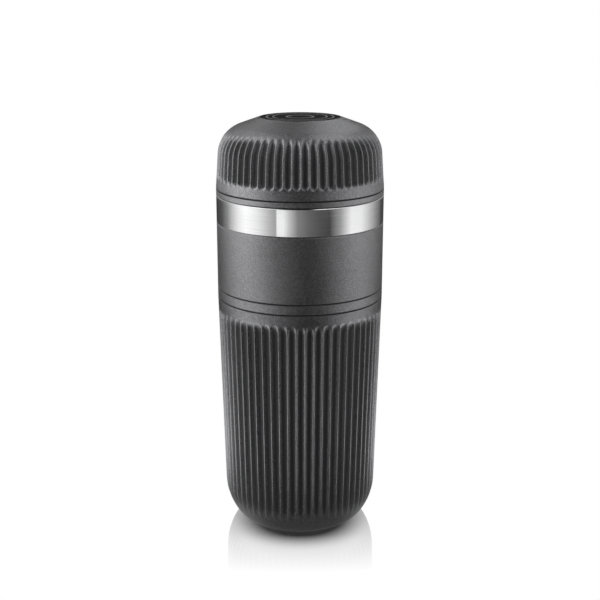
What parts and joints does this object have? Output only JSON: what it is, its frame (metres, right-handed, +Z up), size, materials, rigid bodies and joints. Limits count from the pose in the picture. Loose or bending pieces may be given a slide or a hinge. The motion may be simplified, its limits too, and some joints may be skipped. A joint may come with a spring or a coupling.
{
  "type": "handheld manual espresso maker",
  "caption": "Fluted bottle-shaped hand-pumped espresso maker: water tank, pump body with push knob, steel-banded adapter over a tall basket, outlet head and cup cap.",
  "frame": {"origin": "centre of the flat base that the tank stands on", "axes": "+Z up along the body's axis, +Y towards the pump knob at the back, so -Y is the front"},
  "size_m": [0.062, 0.0705, 0.156],
  "materials": {
    "shell_plastic": "fine matte moulded grain, dark warm grey",
    "black_gloss": "polished black",
    "band_steel": "brushed round the band, satin bright",
    "inner_plastic": "plain moulded black",
    "metal": "bright turned stainless steel",
    "rubber": "soft black silicone"
  },
  "bodies": {
    "tank": {"tank_shell": "shell_plastic", "tank_collar": "shell_plastic"},
    "plug_seal": {"plug_o_ring": "rubber"},
    "pump_body": {"tank_plug": "inner_plastic", "plug_screws": "metal", "vent_valve": "rubber", "inlet_strainer": "inner_plastic", "body_shell": "shell_plastic", "pump_chassis": "inner_plastic", "chassis_screws": "metal", "pump_cylinder": "inner_plastic", "pump_collar": "inner_plastic", "valve_block": "inner_plastic", "inlet_seat": "rubber", "outlet_seat": "rubber", "inlet_spring": "metal", "outlet_spring": "metal", "group_plate": "inner_plastic", "group_screws": "metal", "group_gasket": "rubber", "shower_screen": "metal", "screen_screw": "metal", "return_spring": "metal"},
    "inlet_check": {"inlet_ball": "metal"},
    "outlet_check": {"outlet_ball": "metal"},
    "plunger": {"piston_rod": "metal", "piston_head": "inner_plastic", "piston_seal": "rubber"},
    "knob": {"pump_knob": "shell_plastic", "knob_inlay": "black_gloss"},
    "basket": {"filter_basket": "metal"},
    "adapter_seal": {"adapter_o_ring": "rubber"},
    "adapter": {"adapter_core": "inner_plastic", "adapter_band": "band_steel"},
    "head_seal": {"head_o_ring": "rubber"},
    "head": {"outlet_head": "shell_plastic", "outlet_screen": "metal", "cap_grip_ring": "rubber"},
    "cap": {"cap_shell": "shell_plastic", "cap_disc": "black_gloss"}
  },
  "joints": [
    {"name": "tank_to_body_lift", "type": "slide", "parent": "tank", "child": "plug_seal", "axis": [0, 0, 1], "range_m": [0, 0.03]},
    {"name": "body_turn", "type": "hinge", "parent": "plug_seal", "child": "pump_body", "pos_m": [0, 0, 0.0933], "axis": [0, 0, 1], "range_deg": [0, 45]},
    {"name": "inlet_open", "type": "slide", "parent": "pump_body", "child": "inlet_check", "axis": [0, 0, 1], "range_m": [0, 0.001], "stiffness_N_per_m": 20, "springref_m": -0.0005, "deforming": ["inlet_spring"]},
    {"name": "outlet_open", "type": "slide", "parent": "pump_body", "child": "outlet_check", "axis": [0, 0, 1], "range_m": [0, 0.001], "stiffness_N_per_m": 20, "springref_m": -0.0005, "deforming": ["outlet_spring"]},
    {"name": "pump_stroke", "type": "slide", "parent": "pump_body", "child": "plunger", "axis": [0, 1, 0], "range_m": [0, 0.018], "deforming": ["return_spring"]},
    {"name": "knob_twist", "type": "hinge", "parent": "plunger", "child": "knob", "pos_m": [0, 0.0316, 0.1026], "axis": [0, 1, 0], "range_deg": [0, 30]},
    {"name": "basket_lift", "type": "slide", "parent": "pump_body", "child": "basket", "axis": [0, 0, 1], "range_m": [0, 0.03]},
    {"name": "adapter_lift", "type": "slide", "parent": "basket", "child": "adapter_seal", "axis": [0, 0, 1], "range_m": [0, 0.03]},
    {"name": "adapter_turn", "type": "hinge", "parent": "adapter_seal", "child": "adapter", "pos_m": [0, 0, 0.1177], "axis": [0, 0, 1], "range_deg": [0, 45]},
    {"name": "head_lift", "type": "slide", "parent": "adapter", "child": "head_seal", "axis": [0, 0, 1], "range_m": [0, 0.025]},
    {"name": "head_turn", "type": "hinge", "parent": "head_seal", "child": "head", "pos_m": [0, 0, 0.12785], "axis": [0, 0, 1], "range_deg": [0, 45]},
    {"name": "cap_lift", "type": "slide", "parent": "head", "child": "cap", "axis": [0, 0, 1], "range_m": [0, 0.035]}
  ]
}
